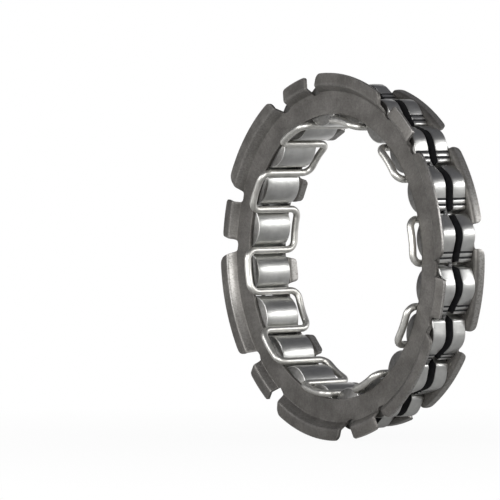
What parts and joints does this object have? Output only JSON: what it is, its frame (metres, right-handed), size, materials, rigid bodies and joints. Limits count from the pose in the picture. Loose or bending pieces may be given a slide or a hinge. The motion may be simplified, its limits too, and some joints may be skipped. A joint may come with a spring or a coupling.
{
  "type": "sprag clutch",
  "caption": "Ring of sprags held between two stamped cage plates by a meander wire and a garter spring: a one-way clutch for a shaft in a bore.",
  "frame": {"origin": "on the clutch axis, halfway along the sprags", "axes": "+Z along the clutch axis towards the flanged front plate; +X through the first sprag"},
  "size_m": [0.0756, 0.0754, 0.0136],
  "materials": {
    "cage_plate": "stamped sheet, dull oiled",
    "cage_wire": "bright drawn",
    "garter_wire": "drawn",
    "sprag_steel": "ground and polished"
  },
  "bodies": {
    "cage": {"front_plate": "cage_plate", "rear_plate": "cage_plate", "retaining_wire": "cage_wire", "garter_spring": "garter_wire"},
    "sprag_01": {"sprag_01": "sprag_steel"},
    "sprag_02": {"sprag_02": "sprag_steel"},
    "sprag_03": {"sprag_03": "sprag_steel"},
    "sprag_04": {"sprag_04": "sprag_steel"},
    "sprag_05": {"sprag_05": "sprag_steel"},
    "sprag_06": {"sprag_06": "sprag_steel"},
    "sprag_07": {"sprag_07": "sprag_steel"},
    "sprag_08": {"sprag_08": "sprag_steel"},
    "sprag_09": {"sprag_09": "sprag_steel"},
    "sprag_10": {"sprag_10": "sprag_steel"},
    "sprag_11": {"sprag_11": "sprag_steel"},
    "sprag_12": {"sprag_12": "sprag_steel"},
    "sprag_13": {"sprag_13": "sprag_steel"},
    "sprag_14": {"sprag_14": "sprag_steel"},
    "sprag_15": {"sprag_15": "sprag_steel"},
    "sprag_16": {"sprag_16": "sprag_steel"},
    "sprag_17": {"sprag_17": "sprag_steel"},
    "sprag_18": {"sprag_18": "sprag_steel"},
    "sprag_19": {"sprag_19": "sprag_steel"},
    "sprag_20": {"sprag_20": "sprag_steel"}
  },
  "joints": [
    {"name": "sprag_01_tilt", "type": "hinge", "parent": "cage", "child": "sprag_01", "pos_m": [0.0315, 0, 0], "axis": [0, 0, 1], "range_deg": [-3, 3], "stiffness_Nm_per_rad": 0.02},
    {"name": "sprag_02_tilt", "type": "hinge", "parent": "cage", "child": "sprag_02", "pos_m": [0.02996, 0.00973, 0], "axis": [0, 0, 1], "range_deg": [-3, 3], "stiffness_Nm_per_rad": 0.02},
    {"name": "sprag_03_tilt", "type": "hinge", "parent": "cage", "child": "sprag_03", "pos_m": [0.02548, 0.01852, 0], "axis": [0, 0, 1], "range_deg": [-3, 3], "stiffness_Nm_per_rad": 0.02},
    {"name": "sprag_04_tilt", "type": "hinge", "parent": "cage", "child": "sprag_04", "pos_m": [0.01852, 0.02548, 0], "axis": [0, 0, 1], "range_deg": [-3, 3], "stiffness_Nm_per_rad": 0.02},
    {"name": "sprag_05_tilt", "type": "hinge", "parent": "cage", "child": "sprag_05", "pos_m": [0.00973, 0.02996, 0], "axis": [0, 0, 1], "range_deg": [-3, 3], "stiffness_Nm_per_rad": 0.02},
    {"name": "sprag_06_tilt", "type": "hinge", "parent": "cage", "child": "sprag_06", "pos_m": [0, 0.0315, 0], "axis": [0, 0, 1], "range_deg": [-3, 3], "stiffness_Nm_per_rad": 0.02},
    {"name": "sprag_07_tilt", "type": "hinge", "parent": "cage", "child": "sprag_07", "pos_m": [-0.00973, 0.02996, 0], "axis": [0, 0, 1], "range_deg": [-3, 3], "stiffness_Nm_per_rad": 0.02},
    {"name": "sprag_08_tilt", "type": "hinge", "parent": "cage", "child": "sprag_08", "pos_m": [-0.01852, 0.02548, 0], "axis": [0, 0, 1], "range_deg": [-3, 3], "stiffness_Nm_per_rad": 0.02},
    {"name": "sprag_09_tilt", "type": "hinge", "parent": "cage", "child": "sprag_09", "pos_m": [-0.02548, 0.01852, 0], "axis": [0, 0, 1], "range_deg": [-3, 3], "stiffness_Nm_per_rad": 0.02},
    {"name": "sprag_10_tilt", "type": "hinge", "parent": "cage", "child": "sprag_10", "pos_m": [-0.02996, 0.00973, 0], "axis": [0, 0, 1], "range_deg": [-3, 3], "stiffness_Nm_per_rad": 0.02},
    {"name": "sprag_11_tilt", "type": "hinge", "parent": "cage", "child": "sprag_11", "pos_m": [-0.0315, 0, 0], "axis": [0, 0, 1], "range_deg": [-3, 3], "stiffness_Nm_per_rad": 0.02},
    {"name": "sprag_12_tilt", "type": "hinge", "parent": "cage", "child": "sprag_12", "pos_m": [-0.02996, -0.00973, 0], "axis": [0, 0, 1], "range_deg": [-3, 3], "stiffness_Nm_per_rad": 0.02},
    {"name": "sprag_13_tilt", "type": "hinge", "parent": "cage", "child": "sprag_13", "pos_m": [-0.02548, -0.01852, 0], "axis": [0, 0, 1], "range_deg": [-3, 3], "stiffness_Nm_per_rad": 0.02},
    {"name": "sprag_14_tilt", "type": "hinge", "parent": "cage", "child": "sprag_14", "pos_m": [-0.01852, -0.02548, 0], "axis": [0, 0, 1], "range_deg": [-3, 3], "stiffness_Nm_per_rad": 0.02},
    {"name": "sprag_15_tilt", "type": "hinge", "parent": "cage", "child": "sprag_15", "pos_m": [-0.00973, -0.02996, 0], "axis": [0, 0, 1], "range_deg": [-3, 3], "stiffness_Nm_per_rad": 0.02},
    {"name": "sprag_16_tilt", "type": "hinge", "parent": "cage", "child": "sprag_16", "pos_m": [0, -0.0315, 0], "axis": [0, 0, 1], "range_deg": [-3, 3], "stiffness_Nm_per_rad": 0.02},
    {"name": "sprag_17_tilt", "type": "hinge", "parent": "cage", "child": "sprag_17", "pos_m": [0.00973, -0.02996, 0], "axis": [0, 0, 1], "range_deg": [-3, 3], "stiffness_Nm_per_rad": 0.02},
    {"name": "sprag_18_tilt", "type": "hinge", "parent": "cage", "child": "sprag_18", "pos_m": [0.01852, -0.02548, 0], "axis": [0, 0, 1], "range_deg": [-3, 3], "stiffness_Nm_per_rad": 0.02},
    {"name": "sprag_19_tilt", "type": "hinge", "parent": "cage", "child": "sprag_19", "pos_m": [0.02548, -0.01852, 0], "axis": [0, 0, 1], "range_deg": [-3, 3], "stiffness_Nm_per_rad": 0.02},
    {"name": "sprag_20_tilt", "type": "hinge", "parent": "cage", "child": "sprag_20", "pos_m": [0.02996, -0.00973, 0], "axis": [0, 0, 1], "range_deg": [-3, 3], "stiffness_Nm_per_rad": 0.02}
  ],
  "couplings": [
    {"joint": "sprag_02_tilt", "follows": "sprag_01_tilt", "ratio": 1},
    {"joint": "sprag_03_tilt", "follows": "sprag_01_tilt", "ratio": 1},
    {"joint": "sprag_04_tilt", "follows": "sprag_01_tilt", "ratio": 1},
    {"joint": "sprag_05_tilt", "follows": "sprag_01_tilt", "ratio": 1},
    {"joint": "sprag_06_tilt", "follows": "sprag_01_tilt", "ratio": 1},
    {"joint": "sprag_07_tilt", "follows": "sprag_01_tilt", "ratio": 1},
    {"joint": "sprag_08_tilt", "follows": "sprag_01_tilt", "ratio": 1},
    {"joint": "sprag_09_tilt", "follows": "sprag_01_tilt", "ratio": 1},
    {"joint": "sprag_10_tilt", "follows": "sprag_01_tilt", "ratio": 1},
    {"joint": "sprag_11_tilt", "follows": "sprag_01_tilt", "ratio": 1},
    {"joint": "sprag_12_tilt", "follows": "sprag_01_tilt", "ratio": 1},
    {"joint": "sprag_13_tilt", "follows": "sprag_01_tilt", "ratio": 1},
    {"joint": "sprag_14_tilt", "follows": "sprag_01_tilt", "ratio": 1},
    {"joint": "sprag_15_tilt", "follows": "sprag_01_tilt", "ratio": 1},
    {"joint": "sprag_16_tilt", "follows": "sprag_01_tilt", "ratio": 1},
    {"joint": "sprag_17_tilt", "follows": "sprag_01_tilt", "ratio": 1},
    {"joint": "sprag_18_tilt", "follows": "sprag_01_tilt", "ratio": 1},
    {"joint": "sprag_19_tilt", "follows": "sprag_01_tilt", "ratio": 1},
    {"joint": "sprag_20_tilt", "follows": "sprag_01_tilt", "ratio": 1}
  ]
}
